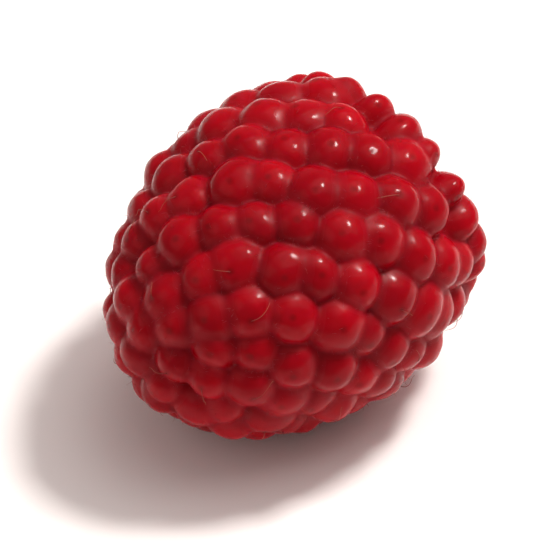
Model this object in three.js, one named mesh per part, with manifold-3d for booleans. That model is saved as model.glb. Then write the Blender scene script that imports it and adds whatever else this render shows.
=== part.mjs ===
// A picked raspberry lying on its side, tip forward along -Y, hollow mouth facing +Y.
// Millimetres, +Z up, origin on the surface it rests on, under the middle of its outer box.
// The fruit is one grown body: small round drupelets set in a spiral round a hollow,
// a finer row of them round the mouth, and a flat spot under each one that the fruit rests on.
import * as THREE from "three";
import { mergeVertices } from "three/addons/utils/BufferGeometryUtils.js";
import Module from "manifold-3d";

const wasm = await Module();
wasm.setup();

// Driving dimensions of the whole fruit
const WIDTH = 20.2; // across the widest ring of drupelets
const LENGTH = 21.5; // tip to mouth, along the fruit's own axis
const TAPER = 0.1; // 0 is an egg-shaped tip, 1 a conical one
const MOUTH_ANGLE = THREE.MathUtils.degToRad(122); // how far past the widest ring the side curls in

// Drupelets on the side and tip
const PITCH = 2.6; // centre to centre at the widest ring
const TIP_SHRINK = 0.16; // share by which the pitch is smaller at the tip
const DOME = 0.7; // a drupelet's radius over its pitch
const SIZE_SPREAD = 0.11; // share by which a drupelet is larger or smaller than its neighbours
const PLACE_SPREAD = 0.12; // share of the pitch that it sits off the regular spiral
const GOLDEN_ANGLE = Math.PI * (3 - Math.sqrt(5));
const HEXAGON = Math.sqrt(3) / 2; // area of one cell over the pitch squared

// The finer row that wraps over the edge of the mouth, as half sizes of each drupelet
const ROW_COUNT = 21;
const ROW_ACROSS = 1.4;
const ROW_OUT = 2.35; // from the hollow to the outside
const ROW_ALONG = 1.8;
const ROW_RADIUS = 6.15; // of the circle that their middles stand on
const ROW_CLEAR = 0.9; // that the last spiral drupelets stay back from this row's middles

// The hollow that the core leaves
const HOLLOW_RADIUS = 4.2;
const HOLLOW_DEPTH = 12.4; // below the middles of the mouth row
const HOLLOW_TAPER = 0.45;
const WALL_EDGE = 0.9; // the wall's end bulges this far into the mouth row
const WALL_PROUD = 0.4; // the wall's outside stands this far over the drupelets' middles

// How it lies
const TIP_DOWN = THREE.MathUtils.degToRad(9); // a tapered fruit on its side lets its tip sink
const SAG_WIDE = 1.015; // it spreads a little under its own weight
const SAG_LOW = 0.965;
const PRESSED = 0.55; // depth pressed flat where drupelets meet the surface

// Facets
const DOME_SIDES = 7;
const DOME_RINGS = 4;
const ROW_SIDES = 8;
const ROW_RINGS = 4;
const WALL_SIDES = 24;
const WALL_STEPS = 8;
const WALK_STEPS = 4000;

const domeRadius = DOME * PITCH;
const seatRadius = WIDTH / 2 - domeRadius;
const seatLength = LENGTH - domeRadius * (1 - TIP_SHRINK) - ROW_ALONG;
const seatReach = seatLength / (1 - Math.cos(MOUTH_ANGLE));

// A repeatable wobble from -1 to 1, different for each drupelet and each use
function wobble(index, use) {
  const x = Math.sin(index * 12.9898 + use * 78.233) * 43758.5453;
  return 2 * (x - Math.floor(x)) - 1;
}

// A blunt tapering profile, as distance along the axis and out from it
function profile(angle, radius, reach, taper) {
  const s = Math.sin(angle);
  return new THREE.Vector2(radius * s * (1 - taper + taper * s), reach * (1 - Math.cos(angle)));
}

const seatAt = (angle) => profile(angle, seatRadius, seatReach, TAPER);

function pitchAt(along) {
  const towardsTip = Math.max(0, 1 - along / seatReach);
  return PITCH * (1 - TIP_SHRINK * towardsTip ** 2);
}

// A seat on the wall: where a drupelet's centre is, and the ways across, out and along
function seat(angle, turn, centre = seatAt(angle)) {
  const step = seatAt(angle + 1e-4).sub(seatAt(angle)).normalize();
  const round = (v) => new THREE.Vector3(v.x * Math.cos(turn), v.y, v.x * Math.sin(turn));
  const outward = round(new THREE.Vector2(step.y, -step.x));
  const across = new THREE.Vector3(-Math.sin(turn), 0, Math.cos(turn));
  const along = new THREE.Vector3().crossVectors(across, outward);
  return { centre: round(centre), outward, across, along };
}

// The spiral: walks from tip to mouth and sets a drupelet each time one more cell has been passed
function spiralDrupelets() {
  const found = [];
  let cells = 0;
  let last = seatAt(0);
  for (let i = 1; i <= WALK_STEPS; i += 1) {
    const angle = (MOUTH_ANGLE * i) / WALK_STEPS;
    const here = seatAt(angle);
    if (here.y > seatLength - ROW_CLEAR) break;
    const pitch = pitchAt(here.y);
    cells += (2 * Math.PI * here.x * here.distanceTo(last)) / (HEXAGON * pitch ** 2);
    last = here;
    if (cells < found.length + 0.5) continue;
    const n = found.length;
    const place = seat(angle, n * GOLDEN_ANGLE);
    const radius = DOME * pitch * (1 + SIZE_SPREAD * wobble(n, 1));
    place.centre.addScaledVector(place.across, PLACE_SPREAD * pitch * wobble(n, 2));
    place.centre.addScaledVector(place.along, PLACE_SPREAD * pitch * wobble(n, 3));
    const size = [radius, radius, radius * (1 + SIZE_SPREAD * wobble(n, 4))];
    const ball = new THREE.SphereGeometry(1, DOME_SIDES, DOME_RINGS);
    found.push({ ...place, size, ball });
  }
  return found;
}

function mouthDrupelets() {
  return Array.from({ length: ROW_COUNT }, (_, n) => {
    const turn = (2 * Math.PI * (n + PLACE_SPREAD * wobble(n, 5))) / ROW_COUNT;
    const grow = 1 + SIZE_SPREAD * wobble(n, 6);
    const place = seat(MOUTH_ANGLE, turn, new THREE.Vector2(ROW_RADIUS, seatLength));
    const size = [ROW_ACROSS * grow, ROW_OUT, ROW_ALONG * grow];
    const ball = new THREE.SphereGeometry(1, ROW_SIDES, ROW_RINGS).rotateX(Math.PI / 2);
    return { ...place, size, ball };
  });
}

function solidOf(geometry) {
  const bare = geometry.clone();
  bare.deleteAttribute("normal");
  bare.deleteAttribute("uv");
  const merged = mergeVertices(bare, 1e-5);
  return new wasm.Manifold(
    new wasm.Mesh({
      numProp: 3,
      vertProperties: new Float32Array(merged.attributes.position.array),
      triVerts: new Uint32Array(merged.index.array),
    }),
  );
}

function geometryOf(solid) {
  const mesh = solid.getMesh();
  return new THREE.BufferGeometry()
    .setAttribute("position", new THREE.BufferAttribute(new Float32Array(mesh.vertProperties), 3))
    .setIndex(new THREE.BufferAttribute(new Uint32Array(mesh.triVerts), 1));
}

function drupeletSolid({ centre, across, outward, along, size, ball }) {
  const place = new THREE.Matrix4()
    .makeBasis(across, outward, along)
    .setPosition(centre)
    .multiply(new THREE.Matrix4().makeScale(...size));
  return solidOf(ball.applyMatrix4(place));
}

// The wall that the drupelets grow from, with the hollow inside it, turned round the fruit's axis
function wallSolid() {
  const outside = [];
  const inside = [];
  const hollowFloor = seatLength - HOLLOW_DEPTH;
  for (let i = 0; i <= WALL_STEPS; i += 1) {
    const share = i / WALL_STEPS;
    outside.push(profile(share * MOUTH_ANGLE, seatRadius + WALL_PROUD, seatReach, TAPER));
    const hollow = profile((share * Math.PI) / 2, HOLLOW_RADIUS, HOLLOW_DEPTH, HOLLOW_TAPER);
    inside.push(hollow.setY(hollow.y + hollowFloor));
  }
  const outerEnd = outside.at(-1);
  const innerEnd = inside.at(-1);
  const middle = outerEnd.clone().lerp(innerEnd, 0.5).setY(seatLength + WALL_EDGE);
  const edge = new THREE.QuadraticBezierCurve(outerEnd, middle, innerEnd).getPoints(3).slice(1, -1);
  const outline = [...outside, ...edge, ...inside.reverse()];
  return solidOf(new THREE.LatheGeometry(outline, WALL_SIDES));
}

// The fruit as it grew, its axis along Y
function grownSolid() {
  const drupelets = [...spiralDrupelets(), ...mouthDrupelets()];
  const body = drupelets.reduce((joined, one) => joined.add(drupeletSolid(one)), wallSolid());
  // Pockets closed off between drupelets are flesh: only the outer skin is kept
  return body.decompose().reduce((kept, shell) => (shell.volume() > kept.volume() ? shell : kept));
}

// The fruit as it lies: spread a little, tip down, pressed flat underneath
function lyingGeometry() {
  const pose = new THREE.Matrix4()
    .makeRotationX(TIP_DOWN)
    .multiply(new THREE.Matrix4().makeScale(SAG_WIDE, 1, SAG_LOW));
  const lying = geometryOf(grownSolid()).applyMatrix4(pose);
  lying.computeBoundingBox();
  lying.translate(0, 0, -lying.boundingBox.min.z - PRESSED);
  const ground = new THREE.BoxGeometry(4 * LENGTH, 4 * LENGTH, LENGTH).translate(0, 0, -LENGTH / 2);
  const rested = geometryOf(solidOf(lying).subtract(solidOf(ground)));
  rested.computeBoundingBox();
  const middle = rested.boundingBox.getCenter(new THREE.Vector3());
  return rested.translate(-middle.x, -middle.y, 0);
}

const skin = new THREE.MeshStandardMaterial({ color: "#a8101f", roughness: 0.32, metalness: 0 });
const berry = new THREE.Mesh(lyingGeometry(), skin);
berry.name = "berry";

const raspberry = new THREE.Group();
raspberry.add(berry);

export default raspberry;
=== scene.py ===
# %% [markdown]
# A raspberry, picked and lying on its side. The fruit is an aggregate of drupelets: small juicy
# beads, each grown round one seed, packed in a spiral round the core and joined where they touch.
# Picking leaves the core on the plant, so the fruit is a thimble with an open mouth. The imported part
# holds its true size and place. This script gives it a smooth, ripe skin, its dried styles and its
# down, and all of it is worked out again from the same few dimensions.

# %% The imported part
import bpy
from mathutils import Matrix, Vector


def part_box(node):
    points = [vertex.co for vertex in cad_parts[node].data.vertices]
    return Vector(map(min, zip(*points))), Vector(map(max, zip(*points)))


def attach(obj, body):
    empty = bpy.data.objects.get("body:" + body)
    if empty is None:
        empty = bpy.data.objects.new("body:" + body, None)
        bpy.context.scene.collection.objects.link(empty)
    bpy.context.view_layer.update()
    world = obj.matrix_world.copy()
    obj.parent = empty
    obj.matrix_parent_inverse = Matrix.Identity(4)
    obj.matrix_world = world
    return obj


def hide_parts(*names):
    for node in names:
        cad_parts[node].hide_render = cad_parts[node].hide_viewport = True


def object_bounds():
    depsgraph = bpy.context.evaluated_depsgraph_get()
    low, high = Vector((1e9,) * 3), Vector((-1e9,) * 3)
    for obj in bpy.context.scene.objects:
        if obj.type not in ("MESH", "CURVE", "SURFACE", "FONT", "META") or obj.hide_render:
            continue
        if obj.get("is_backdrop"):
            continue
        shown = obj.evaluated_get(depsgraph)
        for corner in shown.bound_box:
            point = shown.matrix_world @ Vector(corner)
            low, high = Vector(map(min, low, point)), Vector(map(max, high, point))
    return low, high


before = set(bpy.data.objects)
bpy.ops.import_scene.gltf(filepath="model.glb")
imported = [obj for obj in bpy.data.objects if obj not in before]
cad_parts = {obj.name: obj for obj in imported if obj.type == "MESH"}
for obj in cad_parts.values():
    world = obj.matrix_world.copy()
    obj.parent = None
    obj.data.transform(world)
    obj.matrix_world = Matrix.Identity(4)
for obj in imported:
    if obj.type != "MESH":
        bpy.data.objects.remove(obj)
cad_low, cad_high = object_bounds()
print("packed part, mm:", [round(1000 * side, 2) for side in cad_high - cad_low])

# %% [markdown]
# Everything below is made with numbers and the mesh tools, so the same fruit comes out each time. One
# seeded source of chance serves the threads; the drupelets have their own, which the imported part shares.

# %% Tools
import math

import bmesh
import bpy
import numpy as np
from mathutils import Matrix, Vector, noise

MM = 0.001
rng = np.random.default_rng(7)

# %% [markdown]
# Drupelets sit like the seeds of a sunflower: each one is turned by the golden angle from the one
# before, and moves on along the side by the area that one bead needs. Random scattering would leave
# gaps and heaps, and rows would look machined. The spiral packs beads evenly on a shape that widens
# and narrows, as growth does. All lengths in these cells are millimetres in the fruit's own frame,
# with its axis along Y and its tip at 0.

# %% Driving dimensions
WIDTH = 20.2  # across the widest ring of drupelets
LENGTH = 21.5  # tip to mouth
TAPER = 0.1  # 0 is an egg-shaped tip, 1 a conical one
MOUTH_ANGLE = math.radians(122)  # how far past the widest ring the side curls in
PITCH = 2.6  # drupelet centre to centre at the widest ring
TIP_SHRINK = 0.16  # share by which the pitch is smaller at the tip
DOME = 0.7  # a drupelet's radius over its pitch
SIZE_SPREAD = 0.11  # share by which a drupelet is larger or smaller than its neighbours
PLACE_SPREAD = 0.12  # share of the pitch that it sits off the regular spiral
ROW_COUNT = 21  # finer drupelets round the mouth
ROW_HALF_SIZES = (1.4, 2.35, 1.8)  # across, hollow to outside, along the fruit
ROW_RADIUS = 6.15
ROW_CLEAR = 0.9  # the last spiral drupelets stay back this far from the row's middles
HOLLOW_RADIUS = 4.2
HOLLOW_DEPTH = 12.4
HOLLOW_TAPER = 0.45
WALL_EDGE = 0.9  # the wall's end bulges this far into the mouth row
WALL_PROUD = 0.4  # the wall's outside stands this far over the drupelets' middles

GOLDEN_ANGLE = math.pi * (3 - math.sqrt(5))
HEXAGON = math.sqrt(3) / 2  # area of one cell over the pitch squared
dome_radius = DOME * PITCH
seat_radius = WIDTH / 2 - dome_radius
seat_length = LENGTH - dome_radius * (1 - TIP_SHRINK) - ROW_HALF_SIZES[2]
seat_reach = seat_length / (1 - math.cos(MOUTH_ANGLE))
print("wall, mm: radius", round(seat_radius, 2), "length", round(seat_length, 2))


# %% The wall that drupelets sit on
def wobble(index, use):
    """A repeatable number from -1 to 1, different for each drupelet and each use."""
    x = math.sin(index * 12.9898 + use * 78.233) * 43758.5453
    return 2 * (x - math.floor(x)) - 1


def profile(angle, radius, reach, taper):
    """A blunt tapering outline: how far out from the axis, and how far along it."""
    s = np.sin(angle)
    return np.array([radius * s * (1 - taper + taper * s), reach * (1 - np.cos(angle))])


def seat_outline(angle):
    return profile(angle, seat_radius, seat_reach, TAPER)


def turned(radius_and_along, turn):
    """A point of an outline, turned round the axis."""
    out, along = radius_and_along
    return np.array([out * math.cos(turn), along, out * math.sin(turn)])


def seat_ways(angle, turn):
    """The ways across, outward and along at a place on the wall, as rows."""
    step = seat_outline(angle + 1e-4) - seat_outline(angle)
    step /= np.linalg.norm(step)
    outward = turned((step[1], -step[0]), turn)
    across = np.array([-math.sin(turn), 0, math.cos(turn)])
    return np.array([across, outward, np.cross(across, outward)])


# %% The spiral of drupelets
WALK_STEPS = 4000


def spiral_drupelets():
    """Walks from tip to mouth and sets a drupelet each time one more cell has been passed."""
    found = []
    cells = 0.0
    last = seat_outline(0.0)
    for i in range(1, WALK_STEPS + 1):
        angle = MOUTH_ANGLE * i / WALK_STEPS
        here = seat_outline(angle)
        if here[1] > seat_length - ROW_CLEAR:
            break
        towards_tip = max(0.0, 1 - here[1] / seat_reach)
        pitch = PITCH * (1 - TIP_SHRINK * towards_tip**2)
        cells += 2 * math.pi * here[0] * np.linalg.norm(here - last) / (HEXAGON * pitch**2)
        last = here
        if cells < len(found) + 0.5:
            continue
        n = len(found)
        turn = n * GOLDEN_ANGLE
        ways = seat_ways(angle, turn)
        centre = turned(here, turn)
        centre = centre + PLACE_SPREAD * pitch * (wobble(n, 2) * ways[0] + wobble(n, 3) * ways[2])
        radius = DOME * pitch * (1 + SIZE_SPREAD * wobble(n, 1))
        size = (radius, radius, radius * (1 + SIZE_SPREAD * wobble(n, 4)))
        found.append({"centre": centre, "ways": ways, "size": size, "angle": angle, "turn": turn})
    return found


def mouth_drupelets():
    """The finer row that wraps over the edge of the mouth."""
    found = []
    for n in range(ROW_COUNT):
        turn = 2 * math.pi * (n + PLACE_SPREAD * wobble(n, 5)) / ROW_COUNT
        grow = 1 + SIZE_SPREAD * wobble(n, 6)
        centre = turned((ROW_RADIUS, seat_length), turn)
        size = (ROW_HALF_SIZES[0] * grow, ROW_HALF_SIZES[1], ROW_HALF_SIZES[2] * grow)
        ways = seat_ways(MOUTH_ANGLE, turn)
        found.append({"centre": centre, "ways": ways, "size": size, "angle": MOUTH_ANGLE, "turn": turn})
    return found


spiral = spiral_drupelets()
drupelets = spiral + mouth_drupelets()
CENTRES = np.array([one["centre"] for one in drupelets])
WAYS = np.array([one["ways"] for one in drupelets])
SIZES = np.array([one["size"] for one in drupelets])
print("drupelets:", len(spiral), "in the spiral and", ROW_COUNT, "round the mouth")

# %% [markdown]
# The skin is one closed sheet that dips where two drupelets meet. Separate spheres pushed into each
# other would look much the same from outside, but light that travels through the flesh would catch
# on the hidden parts, and the mesh would be no use as a shape. So the fruit is described as a
# distance: how far a point is from the nearest drupelet or from the wall, with a soft minimum that
# rounds each crease as the joined skins do. Each drupelet also carries a small pit where its style
# grew, and the inside of the hollow shows the drupelets' inner ends as low bumps.

# %% Distance to the wall
CREASE_ROUND = 0.11  # radius by which the skins merge in a crease
INNER_BUMP = 0.34  # height of the drupelets' inner ends
INNER_GROOVE = 0.45  # width of the groove round each
MOUTH_FADE = (-0.6, 1.2)  # depths below the mouth's middle between which the hollow's surface begins
WALL_FADE = (1.2, 0.5)  # depths in the wall between which it has ended and is whole
hollow_floor = seat_length - HOLLOW_DEPTH


def wall_outline(steps=24):
    """The cut face of the wall, from the tip round the mouth to the bottom of the hollow."""
    share = np.linspace(0, 1, steps + 1)
    outside = profile(share * MOUTH_ANGLE, seat_radius + WALL_PROUD, seat_reach, TAPER).T
    inside = profile(share * math.pi / 2, HOLLOW_RADIUS, HOLLOW_DEPTH, HOLLOW_TAPER).T
    inside = inside + (0, hollow_floor)
    start, end = outside[-1], inside[-1]
    middle = np.array([(start[0] + end[0]) / 2, seat_length + WALL_EDGE])
    t = np.linspace(0, 1, 9)[1:-1, None]
    edge = (1 - t) ** 2 * start + 2 * t * (1 - t) * middle + t**2 * end
    return np.concatenate([outside, edge, inside[::-1]])


def outline_distance(flat, outline):
    """Signed distance from points in the cut plane to a closed outline, negative inside."""
    best = np.full(len(flat), 1e9)
    odd = np.zeros(len(flat), bool)
    for a, b in zip(outline, np.roll(outline, -1, axis=0)):
        edge = b - a
        to = flat - a
        share = np.clip(to @ edge / max(edge @ edge, 1e-12), 0, 1)
        best = np.minimum(best, np.sum((to - share[:, None] * edge) ** 2, axis=1))
        crosses = (a[1] <= flat[:, 1]) != (b[1] <= flat[:, 1])
        rise = b[1] - a[1] if b[1] != a[1] else 1e-12
        odd ^= crosses & (to[:, 0] < edge[0] * to[:, 1] / rise)
    return np.where(odd, -1, 1) * np.sqrt(best)


WALL = wall_outline()
inner_ends = np.array([
    turned(
        profile(one["angle"] / MOUTH_ANGLE * math.pi / 2, HOLLOW_RADIUS, HOLLOW_DEPTH, HOLLOW_TAPER)
        + (0, hollow_floor),
        one["turn"],
    )
    for one in drupelets
])


def smooth(low, high, value):
    """0 below low, 1 above high, and an even curve between."""
    t = np.clip((value - low) / (high - low), 0, 1)
    return t * t * (3 - 2 * t)


def depth_in_hollow(out, along):
    """How far a point lies inside the hollow's outline, and negative in the wall, roughly."""
    reach = np.clip((along - hollow_floor) / HOLLOW_DEPTH, 0, 1)
    angle = np.arccos(1 - reach)
    radius = profile(angle, HOLLOW_RADIUS, HOLLOW_DEPTH, HOLLOW_TAPER)[0]
    return np.minimum(radius - out, along - hollow_floor)


def in_hollow(points):
    """1 inside the hollow and on its surface, falling to 0 through the wall and at the mouth."""
    out = np.hypot(points[:, 0], points[:, 2])
    below_mouth = seat_length - points[:, 1]
    into_wall = -depth_in_hollow(out, points[:, 1])
    return smooth(*MOUTH_FADE, below_mouth) * smooth(*WALL_FADE, into_wall)


def two_nearest(points, seeds):
    """Distance from each point to its nearest and second nearest seed."""
    squares = (points**2).sum(1)[:, None] - 2 * points @ seeds.T + (seeds**2).sum(1)
    pair = np.sqrt(np.maximum(np.partition(squares, 1, axis=1)[:, :2], 0))
    return pair[:, 0], pair[:, 1]


def inner_bump(points):
    """The drupelets' inner ends: low bumps with a groove round each."""
    near, next_near = two_nearest(points, inner_ends)
    return INNER_BUMP * (1 - np.exp(-(next_near - near) / INNER_GROOVE)) * in_hollow(points)


def wall_distance(points):
    out = np.hypot(points[:, 0], points[:, 2])
    return outline_distance(np.stack([out, points[:, 1]], axis=1), WALL) - inner_bump(points)


# %% Distance to the drupelets
NEAR_COUNT = 8
PIT_DEPTH = 0.035
PIT_RADIUS = 0.17
PIT_ACROSS = 0.22  # most that a pit sits beside its drupelet's crown
PIT_TO_TIP = 0.16  # how far it sits towards the tip
PIT_TO_TIP_SPREAD = 0.14


def nearest_drupelets(points):
    """The drupelets that can matter at each point."""
    squares = (points**2).sum(1)[:, None] - 2 * points @ CENTRES.T + (CENTRES**2).sum(1)
    return np.argpartition(squares, NEAR_COUNT, axis=1)[:, :NEAR_COUNT]


def drupelet_distances(points, which):
    """Signed distance from each point to each of its nearest drupelets."""
    offset = points[:, None, :] - CENTRES[which]
    local = np.einsum("nkij,nkj->nki", WAYS[which], offset) / SIZES[which]
    reach = np.linalg.norm(local, axis=2)
    slope = np.linalg.norm(local / SIZES[which], axis=2)
    return reach * (reach - 1) / np.maximum(slope, 1e-9)


def pit_places():
    """Where each style grew: near the crown of its drupelet, a little towards the tip."""
    places = []
    for n, one in enumerate(drupelets):
        across, outward, along = one["ways"]
        to_tip = PIT_TO_TIP + PIT_TO_TIP_SPREAD * wobble(n, 9)
        way = outward + PIT_ACROSS * wobble(n, 8) * across - to_tip * along
        way = way / np.linalg.norm(one["ways"] @ way / SIZES[n])
        places.append(one["centre"] + way)
    return np.array(places)


PITS = pit_places()


def pit_depth(points):
    near, _ = two_nearest(points, PITS)
    return PIT_DEPTH * np.exp(-((near / PIT_RADIUS) ** 2))


def fruit_distance(points, which):
    """Signed distance to the whole fruit, with creases rounded and pits sunk."""
    parts = np.column_stack([drupelet_distances(points, which), wall_distance(points)])
    lowest = parts.min(axis=1)
    merged = lowest - CREASE_ROUND * np.log(
        np.exp(-(parts - lowest[:, None]) / CREASE_ROUND).sum(axis=1)
    )
    return merged + pit_depth(points)


# %% [markdown]
# A mesh is then shrunk onto that distance. First the wall and plain balls are joined by a voxel
# remesh, which gives even quads and a closed sheet however many balls overlap. Pockets that it closes
# off inside the flesh are dropped, so the outer skin is the only sheet. Then each vertex moves down
# the slope of the distance until it lies on the skin. Remeshing alone would leave jagged creases; the
# distance alone has no faces.

# %% A rough fruit from balls and a turned wall
VOXEL = 0.17
WALL_SIDES = 64


def rough_fruit():
    """Overlapping balls and the turned wall in one mesh, in millimetres."""
    bm = bmesh.new()
    for one in drupelets:
        place = Matrix(one["ways"].T).to_4x4()
        place.translation = Vector(one["centre"])
        ball = place @ Matrix.Diagonal((*one["size"], 1))
        bmesh.ops.create_icosphere(bm, subdivisions=3, radius=1, matrix=ball)
    rings = []
    for out, along in WALL:
        turns = 2 * math.pi * np.arange(WALL_SIDES) / WALL_SIDES
        spots = [(0, along, 0)] if out < 1e-6 else [turned((out, along), turn) for turn in turns]
        rings.append([bm.verts.new(spot) for spot in spots])
    for ring, following in zip(rings, rings[1:]):
        for i in range(WALL_SIDES):
            j = (i + 1) % WALL_SIDES
            corners = [ring[i % len(ring)], ring[j % len(ring)]]
            corners += [following[j % len(following)], following[i % len(following)]]
            bm.faces.new(list(dict.fromkeys(corners)))
    wall_faces = bm.faces[-WALL_SIDES * (len(rings) - 1):]
    bmesh.ops.recalc_face_normals(bm, faces=wall_faces)
    mesh = bpy.data.meshes.new("rough_fruit")
    bm.to_mesh(mesh)
    bm.free()
    return mesh


def voxel_remeshed(mesh, size):
    """The mesh as one sheet of even quads."""
    holder = bpy.data.objects.new("rough_fruit", mesh)
    bpy.context.collection.objects.link(holder)
    remesh = holder.modifiers.new("voxels", "REMESH")
    remesh.mode = "VOXEL"
    remesh.voxel_size = size
    shape = holder.evaluated_get(bpy.context.evaluated_depsgraph_get())
    result = bpy.data.meshes.new_from_object(shape)
    bpy.data.objects.remove(holder)
    bpy.data.meshes.remove(mesh)
    return result


def joined_to(vert, unseen):
    """The vertices that edges join to this one, taken out of those unseen."""
    sheet = [vert]
    for at in sheet:
        for edge in at.link_edges:
            other = edge.other_vert(at)
            if other in unseen:
                unseen.remove(other)
                sheet.append(other)
    return sheet


def keep_outer_skin(mesh):
    """Drops every sheet but the largest, and says how many were dropped."""
    bm = bmesh.new()
    bm.from_mesh(mesh)
    unseen = set(bm.verts)
    sheets = []
    while unseen:
        sheets.append(joined_to(unseen.pop(), unseen))
    sheets.sort(key=len)
    pockets = [vert for sheet in sheets[:-1] for vert in sheet]
    bmesh.ops.delete(bm, geom=pockets, context="VERTS")
    bm.to_mesh(mesh)
    bm.free()
    return len(sheets) - 1


skin = voxel_remeshed(rough_fruit(), VOXEL)
print("closed pockets dropped:", keep_outer_skin(skin))
print("skin:", len(skin.vertices), "vertices,", len(skin.polygons), "faces")

# %% Shrinking the rough fruit onto the skin
SHRINK_STEPS = 5
SLOPE_STEP = 0.01
LONGEST_MOVE = 0.12
LEAST_SLOPE = 0.2  # keeps a move short where the distance is nearly flat


def slope_of(distance, points):
    """The gradient of a distance, by small steps along each axis."""
    slopes = []
    for axis in np.eye(3) * SLOPE_STEP:
        slopes.append((distance(points + axis) - distance(points - axis)) / (2 * SLOPE_STEP))
    return np.stack(slopes, axis=1)


def coordinates(mesh):
    co = np.empty(3 * len(mesh.vertices))
    mesh.vertices.foreach_get("co", co)
    return co.reshape(-1, 3)


grown = coordinates(skin)
near = nearest_drupelets(grown)
for _ in range(SHRINK_STEPS):
    gap = fruit_distance(grown, near)
    slope = slope_of(lambda at: fruit_distance(at, near), grown)
    move = gap[:, None] * slope / np.maximum((slope**2).sum(axis=1), LEAST_SLOPE)[:, None]
    size = np.linalg.norm(move, axis=1)
    grown = grown - move * np.minimum(1, LONGEST_MOVE / np.maximum(size, 1e-9))[:, None]
gap = np.abs(fruit_distance(grown, near))
print("left to shrink, mm: typical", round(float(np.median(gap)), 4), "most", round(float(gap.max()), 3))

# %% [markdown]
# No drupelet is a perfect ball. Each swells against its neighbours and its seed, so a slow, shallow
# unevenness goes over all of it, with a fine one on top. It is done in the mesh and not in the
# material, since it bends the highlights and shows on the outline.

# %% Uneven flesh
SLOW_SIZE = 1.9
SLOW_HEIGHT = 0.1
FINE_SIZE = 0.7
FINE_HEIGHT = 0.026
outward = slope_of(lambda at: fruit_distance(at, near), grown)
outward /= np.maximum(np.linalg.norm(outward, axis=1), 1e-9)[:, None]
swell = np.array([
    SLOW_HEIGHT * noise.noise(Vector(at / SLOW_SIZE)) + FINE_HEIGHT * noise.noise(Vector(at / FINE_SIZE))
    for at in grown
])
fleshed = grown + outward * swell[:, None]
print("swelling, mm:", round(float(swell.min()), 3), "to", round(float(swell.max()), 3))

# %% [markdown]
# What the skin's colour needs to know is worked out while the distances are at hand, and stored on
# the vertices: which drupelet it is (each ripens a little differently), how near a crease, how near
# a pit, and how far inside the hollow.

# %% What each vertex knows
CREASE_WIDTH = 0.75
PIT_STAIN = 0.26

to_each = drupelet_distances(grown, near)
apart = np.sort(to_each, axis=1)
owner = near[np.arange(len(near)), to_each.argmin(axis=1)]
ripeness = np.array([0.5 + 0.5 * wobble(n, 11) for n in range(len(drupelets))])
near_pit, _ = two_nearest(grown, PITS)
near_end, next_end = two_nearest(grown, inner_ends)
known = {
    "ripeness": ripeness[owner],
    "crown": smooth(0, CREASE_WIDTH, apart[:, 1] - apart[:, 0]),
    "pit": np.exp(-((near_pit / PIT_STAIN) ** 2)),
    "hollow": in_hollow(grown),
    "inner_end": smooth(0, CREASE_WIDTH, next_end - near_end),
}
for name, values in known.items():
    skin.attributes.new(name, "FLOAT", "POINT").data.foreach_set("value", values.astype(np.float32))
print("known at each vertex:", ", ".join(known))

# %% [markdown]
# The fruit lies on its side. Its tip is the lighter, narrower end and dips, the whole spreads a
# little under its weight, and the drupelets that touch the surface are pressed flat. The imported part
# says where that surface and the fruit's outer box are, so the skin is laid to match its box.

# %% Lying down
TIP_DOWN = math.radians(9)
SAG = np.array([1.015, 1, 0.965])


def lay(points):
    """From the fruit's own frame to the row frame's directions, still in millimetres."""
    along, up = points[:, 1], points[:, 2] * SAG[2]
    cos, sin = math.cos(TIP_DOWN), math.sin(TIP_DOWN)
    return np.stack([points[:, 0] * SAG[0], along * cos - up * sin, along * sin + up * cos], axis=1)


berry_low, berry_high = (np.array(corner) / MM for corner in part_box("berry"))
laid = lay(fleshed)
spread = laid.max(axis=0) - laid.min(axis=0)
fit = float(np.min((berry_high - berry_low)[:2] / spread[:2]))
middle = (laid.max(axis=0) + laid.min(axis=0)) / 2
top = laid[:, 2].max()


def settle(points):
    """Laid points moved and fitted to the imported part's box, in metres."""
    placed = (lay(points) - (middle[0], middle[1], top)) * fit
    return (placed + (*((berry_high + berry_low) / 2)[:2], berry_high[2])) * MM


resting = settle(fleshed)
pressed = resting[:, 2] < 0
resting[:, 2] = np.maximum(resting[:, 2], 0)
skin.vertices.foreach_set("co", resting.ravel())
skin.update()
print("fitted by", round(fit, 4), "with", int(pressed.sum()), "vertices pressed flat")

# %% [markdown]
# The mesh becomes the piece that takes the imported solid's place. Its faces are shaded smooth, since a
# fruit has no flat facets. It rides on the root, the only body: nothing on a raspberry moves.

# %% The skin as a piece
for face in skin.polygons:
    face.use_smooth = True
berry_skin = bpy.data.objects.new("berry_skin", skin)
bpy.context.collection.objects.link(berry_skin)
skin.name = "berry_skin"
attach(berry_skin, "root")
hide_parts("berry")

# %% [markdown]
# From the crown of most drupelets a style still stands: the dried thread that once led pollen to the
# seed. It is 1 to 2 mm long, thinner than a human hair at its end, and bends over the neighbours.
# Hair curves would be quick to comb, but they are not mesh and would be lost with the part's shape,
# so each style is a thin tapering tube. Its path is walked over the wall a set height above it.

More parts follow.
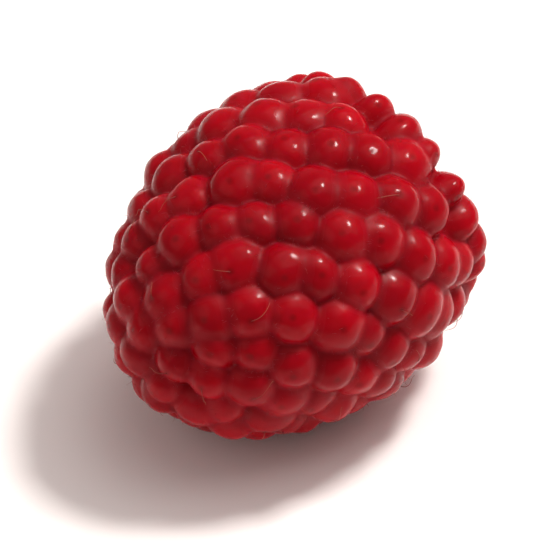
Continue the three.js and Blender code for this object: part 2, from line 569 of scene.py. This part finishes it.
# %% A tapering thread as mesh
def thread(bm, path, radii, sides):
    """A tube through the points of path, with one radius for each, closed at both ends."""
    rings = []
    for i, (at, radius) in enumerate(zip(path, map(float, radii))):
        way = path[min(i + 1, len(path) - 1)] - path[max(i - 1, 0)]
        way = Vector(way).normalized()
        side = way.orthogonal().normalized()
        other = way.cross(side)
        turns = [2 * math.pi * k / sides for k in range(sides)]
        spots = [Vector(at) + radius * (math.cos(t) * side + math.sin(t) * other) for t in turns]
        rings.append([bm.verts.new(spot) for spot in spots])
    for ring, following in zip(rings, rings[1:]):
        shift = min(range(sides), key=lambda k: (ring[0].co - following[k].co).length)
        for k in range(sides):
            a, b = following[(k + shift) % sides], following[(k + 1 + shift) % sides]
            bm.faces.new((ring[k], ring[(k + 1) % sides], b, a))
    bm.faces.new(rings[0][::-1])
    bm.faces.new(rings[-1])


def threads_piece(name, paths, radii, sides):
    """One object of many threads, with a number from 0 to 1 along each."""
    bm = bmesh.new()
    share = bm.verts.layers.float.new("along")
    for path in paths:
        first = len(bm.verts)
        thread(bm, path, radii, sides)
        bm.verts.ensure_lookup_table()
        for i in range(first, len(bm.verts)):
            bm.verts[i][share] = (i - first) // sides / (len(radii) - 1)
    mesh = bpy.data.meshes.new(name)
    bm.to_mesh(mesh)
    bm.free()
    for face in mesh.polygons:
        face.use_smooth = True
    piece = bpy.data.objects.new(name, mesh)
    bpy.context.collection.objects.link(piece)
    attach(piece, "root")
    return piece


# %% Styles
STYLE_SHARE = 0.26  # of drupelets that still carry one
STYLE_LENGTHS = (1.0, 1.9)
STYLE_POINTS = 12
STYLE_RADII = np.linspace(0.028, 0.01, STYLE_POINTS) * MM
STYLE_LIFT = 0.3  # most that it arches above the crowns
STYLE_BEND = 0.5
STYLE_ROOT = 0.06  # its foot is sunk this deep
ARCH_END = 1.15  # it comes down a little before its end
FLOOR_GAP = 0.08 * MM


def style_path(n, one):
    """From the pit of a drupelet, arching up and over its neighbours."""
    length = STYLE_LENGTHS[0] + (STYLE_LENGTHS[1] - STYLE_LENGTHS[0]) * rng.random()
    heading = rng.uniform(0, 2 * math.pi)
    bend = rng.normal(0, STYLE_BEND)
    lift = STYLE_LIFT * rng.uniform(0.35, 1)
    at = PITS[n]
    spots = []
    for share in np.linspace(0, 1, STYLE_POINTS):
        turn = heading + bend * share
        way = math.cos(turn) * one["ways"][0] + math.sin(turn) * one["ways"][2]
        drop = 0.5 * (share * length) ** 2 / (WIDTH / 2)
        arch = lift * math.sin(math.pi * min(1, share * ARCH_END)) - STYLE_ROOT
        spots.append(at + one["ways"][1] * (arch - drop))
        at = at + way * length / (STYLE_POINTS - 1)
    return np.array(spots)


style_paths = []
for n, one in enumerate(spiral):
    if rng.random() > STYLE_SHARE:
        continue
    path = settle(style_path(n, one))
    if path[:, 2].min() > FLOOR_GAP:
        style_paths.append(path)
styles = threads_piece("styles", style_paths, STYLE_RADII, 5)
print("styles:", len(style_paths))

# %% [markdown]
# Between the drupelets grows a short felt of down. It is what makes a raspberry look velvety and
# gives its outline a light rim. Sheen in the material would grey the creases and leave the outline
# clean, so a few thousand real threads, each under half a millimetre, stand along the creases.

# %% Down
DOWN_COUNT = 3000
DOWN_LENGTHS = (0.18, 0.42)
DOWN_RADII = np.array([0.011, 0.008, 0.002]) * MM
DOWN_LEAN = 0.45
DOWN_CURL = 0.25
DOWN_ROOT = 0.03
DOWN_GAP = 0.02 * MM


def down_paths():
    """Short threads that lean at random, thickest on the ground near the creases."""
    likely = (1.05 - known["crown"]) * (1 - 0.8 * known["hollow"]) * ~pressed
    picked = rng.choice(len(grown), DOWN_COUNT, replace=False, p=likely / likely.sum())
    paths = []
    for i in picked:
        way = outward[i] + rng.normal(0, DOWN_LEAN, 3)
        way /= np.linalg.norm(way)
        curl = rng.normal(0, DOWN_CURL, 3)
        length = rng.uniform(*DOWN_LENGTHS)
        root = fleshed[i] - DOWN_ROOT * outward[i]
        shares = np.array([0, 0.55, 1])[:, None]
        path = settle(root + length * (shares * way + shares**2 * curl))
        if path[:, 2].min() > DOWN_GAP:
            paths.append(path)
    return paths


down = threads_piece("down", down_paths(), DOWN_RADII, 3)
print("down threads:", len(down.data.vertices) // 9)

# %% [markdown]
# Colours are written as the hex values that a picture shows and turned to linear light by one
# function, since the shader adds light and not screen values.

# %% Colour and nodes
def linear(hex_colour):
    """A screen colour such as "#a8101f" as linear red, green, blue and alpha."""
    parts = [int(hex_colour[i:i + 2], 16) / 255 for i in (1, 3, 5)]
    return (*((p / 12.92 if p <= 0.04045 else ((p + 0.055) / 1.055) ** 2.4) for p in parts), 1)


def add_node(tree, kind, settings=None, inputs=None):
    """Adds one node, sets its options, and fills or links its inputs."""
    node = tree.nodes.new(kind)
    for name, value in (settings or {}).items():
        setattr(node, name, value)
    for key, value in (inputs or {}).items():
        if isinstance(value, bpy.types.NodeSocket):
            tree.links.new(value, node.inputs[key])
        else:
            node.inputs[key].default_value = value
    return node


def per_metre(size_mm):
    """A noise scale that gives features about this many millimetres across."""
    return 1 / (size_mm * MM)


def new_material(name, piece):
    """An empty node material on a piece, with its output and shader linked."""
    material = bpy.data.materials.new(name)
    material.use_nodes = True
    tree = material.node_tree
    tree.nodes.clear()
    shader = add_node(tree, "ShaderNodeBsdfPrincipled")
    add_node(tree, "ShaderNodeOutputMaterial", inputs={"Surface": shader.outputs["BSDF"]})
    piece.data.materials.clear()
    piece.data.materials.append(material)
    return tree, shader


# %% [markdown]
# Ripe skin is a thin, waxy, nearly clear film over red juice. Light goes in, scatters and comes out
# crimson a millimetre away, so the skin has strong subsurface scattering that is long in red and
# short in green and blue. The film itself gives small bright highlights, with the refraction of
# wax, about 1.4. The creases are painted a slightly deeper red than the crowns: painted shade, for
# light that has been through more juice there. A faint bloom makes some crowns paler and duller.
# Inside the hollow there is no film: the surface is matte, pinker, and pale along the seams between
# the drupelets' inner ends.

# %% Ripe skin
tree, shader = new_material("ripe_raspberry_skin", berry_skin)
COLOUR = 6, 7  # the two colour inputs of a mix node
RESULT = 2  # its colour output


def vertex_value(tree, name):
    return add_node(tree, "ShaderNodeAttribute", {"attribute_name": name}).outputs["Fac"]


def mixed(tree, share, first, second):
    """Two colours mixed by a share."""
    inputs = {0: share, COLOUR[0]: first, COLOUR[1]: second}
    return add_node(tree, "ShaderNodeMix", {"data_type": "RGBA"}, inputs).outputs[RESULT]


def mapped(tree, value, low, high, to_low, to_high):
    """A value taken from one range to another and held there."""
    inputs = {"Value": value, "From Min": low, "From Max": high, "To Min": to_low, "To Max": to_high}
    return add_node(tree, "ShaderNodeMapRange", {}, inputs).outputs["Result"]


place = add_node(tree, "ShaderNodeTexCoord").outputs["Object"]


def cloud(size_mm, detail=3.0):
    """Soft noise in the object's own space."""
    inputs = {"Vector": place, "Scale": per_metre(size_mm), "Detail": detail}
    return add_node(tree, "ShaderNodeTexNoise", {}, inputs).outputs["Fac"]


# %% Its colours
crown = vertex_value(tree, "crown")
# The creases get a slightly darker red than the crowns: painted shade.
red = mixed(tree, crown, linear("#840210"), linear("#8e0311"))
riper = mapped(tree, vertex_value(tree, "ripeness"), 0, 1, 0, 0.65)
red = mixed(tree, riper, red, linear("#a60416"))
blotch = mapped(tree, cloud(3.2), 0.42, 0.68, 0, 0.5)
red = mixed(tree, blotch, red, linear("#76010e"))
bloom = mapped(tree, cloud(1.5, 5.0), 0.5, 0.75, 0, 0.05)
red = mixed(tree, bloom, red, linear("#b04a54"))
stain = mapped(tree, vertex_value(tree, "pit"), 0.25, 0.9, 0, 0.45)
red = mixed(tree, stain, red, linear("#5c0c0a"))
seam = vertex_value(tree, "inner_end")
inside = mixed(tree, seam, linear("#c9625f"), linear("#ae222c"))
hollow = vertex_value(tree, "hollow")
tree.links.new(mixed(tree, hollow, red, inside), shader.inputs["Base Color"])

# %% [markdown]
# A clean crown is nearly as smooth as polished wax, and the skin dulls towards the creases, where down
# and dried juice gather. Pores of a sixth of a millimetre break the edge of each highlight a little.
# Light travels furthest through the flesh in red, which is why the creases glow and aren't black.

# %% Its gloss and grain
film = mapped(tree, cloud(0.9), 0.35, 0.7, 0.1, 0.2)
worn = mapped(tree, crown, 0, 1, 0.4, 0)
dull = add_node(tree, "ShaderNodeMath", {"operation": "ADD"}, {0: film, 1: worn}).outputs[0]
matte = add_node(tree, "ShaderNodeMix", {}, {0: hollow, 2: dull, 3: 0.68}).outputs[0]
tree.links.new(matte, shader.inputs["Roughness"])
pore = cloud(0.16, 2.0)
bump_inputs = {"Height": pore, "Strength": 0.15, "Distance": 0.01 * MM}
skin_bump = add_node(tree, "ShaderNodeBump", {}, bump_inputs)
tree.links.new(skin_bump.outputs["Normal"], shader.inputs["Normal"])
shader.inputs["IOR"].default_value = 1.38
shader.inputs["Specular IOR Level"].default_value = 0.15
shader.inputs["Subsurface Weight"].default_value = 0.85
shader.inputs["Subsurface Radius"].default_value = (1.0, 0.12, 0.1)
shader.inputs["Subsurface Scale"].default_value = 1.8 * MM

# %% [markdown]
# A dried style is a thread of brown plant fibre, straw-coloured at its end and reddened by the juice
# at its foot. Down is the same fibre without colour. It is so thin that it shows only as a light
# bloom.

# %% Dry thread
tree, shader = new_material("dried_style", styles)
share = vertex_value(tree, "along")
straw = mixed(tree, share, linear("#7a0f10"), linear("#a85a3e"))
tree.links.new(straw, shader.inputs["Base Color"])
shader.inputs["Roughness"].default_value = 0.5
shader.inputs["IOR"].default_value = 1.5

tree, shader = new_material("pale_down", down)
share = vertex_value(tree, "along")
pale = mixed(tree, share, linear("#74060d"), linear("#b04850"))
tree.links.new(pale, shader.inputs["Base Color"])
shader.inputs["Roughness"].default_value = 0.55
shader.inputs["IOR"].default_value = 1.5

# %% [markdown]
# The setting is a plain white surface, a little rough, so that it takes a soft shadow and mirrors
# nothing. It is staging and stays out of the part.

# %% White surface
FLOOR_SIDE = 1.2
bpy.ops.mesh.primitive_plane_add(size=FLOOR_SIDE)
floor = bpy.context.object
floor.name = "floor"
tree, shader = new_material("white_surface", floor)
shader.inputs["Base Color"].default_value = linear("#f4f2f1")
shader.inputs["Roughness"].default_value = 0.6
floor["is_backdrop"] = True

# %% [markdown]
# The camera looks down at the tip and one side, as the photograph does, from far enough away to keep
# the perspective flat. The fruit fills about two thirds of the picture.

# %% Camera
CAMERA_TURN = math.radians(44)
CAMERA_HEIGHT = math.radians(41)
CAMERA_AWAY = 0.34
FILL = 0.635  # share of the frame that the fruit's width takes
SENSOR = 36
LOOK_BELOW = 0.6 * MM  # under the fruit's middle, which leaves room for its shadow

look_at = (cad_low + cad_high) / 2 - Vector((0, 0, LOOK_BELOW))
back = Vector((
    math.sin(CAMERA_TURN) * math.cos(CAMERA_HEIGHT),
    -math.cos(CAMERA_TURN) * math.cos(CAMERA_HEIGHT),
    math.sin(CAMERA_HEIGHT),
))
camera = bpy.data.objects.new("camera", bpy.data.cameras.new("camera"))
bpy.context.collection.objects.link(camera)
camera.location = look_at + back * CAMERA_AWAY
camera.rotation_euler = back.to_track_quat("Z", "Y").to_euler()
camera.data.sensor_width = SENSOR
camera.data.lens = SENSOR * CAMERA_AWAY * FILL / (cad_high.x - cad_low.x)
camera.data.clip_start = 0.01
bpy.context.scene.camera = camera
print("lens, mm:", round(camera.data.lens, 1))

# %% [markdown]
# Daylight comes from the upper right and a little behind. A small bright window puts a highlight on
# the upper right of each drupelet, and a wide, dim one in the same place softens the shadow that
# falls forward and to the left. One light alone would give either a hard shadow or dull highlights.
# A wide, weak light from the left keeps the shaded side readable.

# %% Lights
right = Vector((math.cos(CAMERA_TURN), math.sin(CAMERA_TURN), 0))
away = Vector((-math.sin(CAMERA_TURN), math.cos(CAMERA_TURN), 0))
up = Vector((0, 0, 1))


def soft_light(name, way, distance, size, power, colour):
    """A square light that faces the fruit."""
    light = bpy.data.lights.new(name, "AREA")
    light.size = size
    light.energy = power
    light.color = linear(colour)[:3]
    lamp = bpy.data.objects.new(name, light)
    bpy.context.collection.objects.link(lamp)
    lamp.location = look_at + way.normalized() * distance
    lamp.rotation_euler = way.to_track_quat("Z", "Y").to_euler()
    return lamp


# Each light's name, the way it stands in, its distance and size in metres, its watts and its colour
from_window = 0.5 * right + 0.25 * away + 1.0 * up
soft_light("window", from_window, 0.4, 0.07, 1.55, "#fffaf6")
soft_light("window_glow", from_window, 0.4, 0.42, 0.5, "#fffaf6")
soft_light("ceiling", 0.15 * right + 0.1 * away + 1.0 * up, 0.5, 0.5, 0.5, "#fff6f3")
soft_light("side_fill", -1.0 * right - 0.5 * away + 0.9 * up, 0.5, 0.4, 0.35, "#ffece6")
world = bpy.data.worlds.new("room")
world.use_nodes = True
world.node_tree.nodes["Background"].inputs["Color"].default_value = linear("#f6e8e4")
world.node_tree.nodes["Background"].inputs["Strength"].default_value = 0.36
bpy.context.scene.world = world
bpy.context.scene.view_settings.view_transform = "Standard"

# %% [markdown]
# The boxes of the imported part and of the finished fruit, threads and all, are printed. Threads may
# stand out of its box by their own length, and nothing else may.

# %% Sizes
new_low, new_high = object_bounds()
sizes = {"cad": [list(cad_low), list(cad_high)], "visual": [list(new_low), list(new_high)]}
for name, (low, high) in sizes.items():
    print(name, "box, mm:", [round(1000 * v, 2) for v in (*low, *high)])
